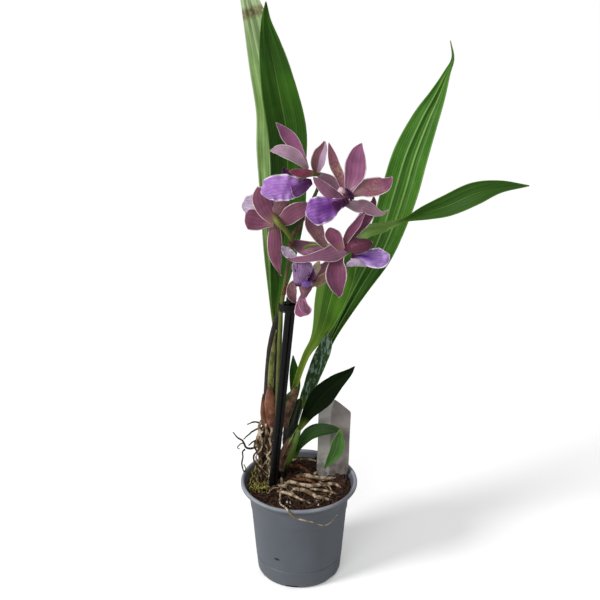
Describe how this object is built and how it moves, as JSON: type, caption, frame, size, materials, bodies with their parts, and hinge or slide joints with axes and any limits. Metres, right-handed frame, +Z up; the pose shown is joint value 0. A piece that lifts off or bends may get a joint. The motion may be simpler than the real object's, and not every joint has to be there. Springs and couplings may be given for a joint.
{
  "type": "potted orchid",
  "caption": "Flowering orchid with long pleated leaves, aerial roots and staked violet blooms, growing in bark in a round tapered nursery pot that stands on its flat base.",
  "frame": {"origin": "centre of the pot's underside", "axes": "+Z up along the pot's axis, -Y towards the side that the flowers face, +X to the right seen from there"},
  "size_m": [0.2755, 0.1264, 0.6361],
  "materials": {
    "pot_plastic": "satin moulded plastic, slate grey, faintly scuffed",
    "bark_mix": "dark damp bark chips",
    "label_plastic": "thin matte plastic, warm grey",
    "stick_plastic": "near-black satin plastic",
    "tie_wire": "black coated wire",
    "leaf_green": "fresh green, satin, lengthwise veins",
    "leaf_pale": "pale grey-green underside, lengthwise stripes",
    "leaf_dark": "deep green, glossy",
    "shoot": "green shoot with brown bands, satin",
    "dry_sheath": "dry papery brown, fibrous",
    "root": "matte tan roots, paler along the ridges",
    "stem": "olive green, satin, brown at the nodes",
    "tepal": "mauve with darker veins and a pale edge, velvety",
    "lip": "violet with a deep purple heart and a white edge",
    "column": "maroon column on an olive green flower stalk"
  },
  "bodies": {
    "root": {"flower_bottom_column": "column", "flower_bottom_lip": "lip", "flower_bottom_petal_left": "tepal", "flower_bottom_petal_right": "tepal", "flower_bottom_sepal_left": "tepal", "flower_bottom_sepal_right": "tepal", "flower_bottom_sepal_upper": "tepal", "flower_left_column": "column", "flower_left_lip": "lip", "flower_left_petal_left": "tepal", "flower_left_petal_right": "tepal", "flower_left_sepal_left": "tepal", "flower_left_sepal_right": "tepal", "flower_left_sepal_upper": "tepal", "flower_right_column": "column", "flower_right_lip": "lip", "flower_right_petal_left": "tepal", "flower_right_petal_right": "tepal", "flower_right_sepal_left": "tepal", "flower_right_sepal_right": "tepal", "flower_right_sepal_upper": "tepal", "flower_stem": "stem", "flower_top_left_column": "column", "flower_top_left_lip": "lip", "flower_top_left_petal_left": "tepal", "flower_top_left_petal_right": "tepal", "flower_top_left_sepal_left": "tepal", "flower_top_left_sepal_right": "tepal", "flower_top_left_sepal_upper": "tepal", "flower_top_right_column": "column", "flower_top_right_lip": "lip", "flower_top_right_petal_left": "tepal", "flower_top_right_petal_right": "tepal", "flower_top_right_sepal_left": "tepal", "flower_top_right_sepal_right": "tepal", "flower_top_right_sepal_upper": "tepal", "leaf_arching": "leaf_green", "leaf_dark": "leaf_dark", "leaf_folded": "leaf_green", "leaf_pleated": "leaf_green", "leaf_short_torn": "leaf_dark", "leaf_small_back": "leaf_dark", "leaf_tall_back": "leaf_pale", "leaf_tall_front": "leaf_green", "left_sheath": "dry_sheath", "left_shoot": "shoot", "orchid_roots": "root", "plant_label": "label_plastic", "pot": "pot_plastic", "potting_bark": "bark_mix", "right_sheath": "dry_sheath", "right_shoot": "shoot", "rim_root": "root", "stick_tie": "tie_wire", "support_stick_left": "stick_plastic", "support_stick_right": "stick_plastic"}
  },
  "joints": []
}
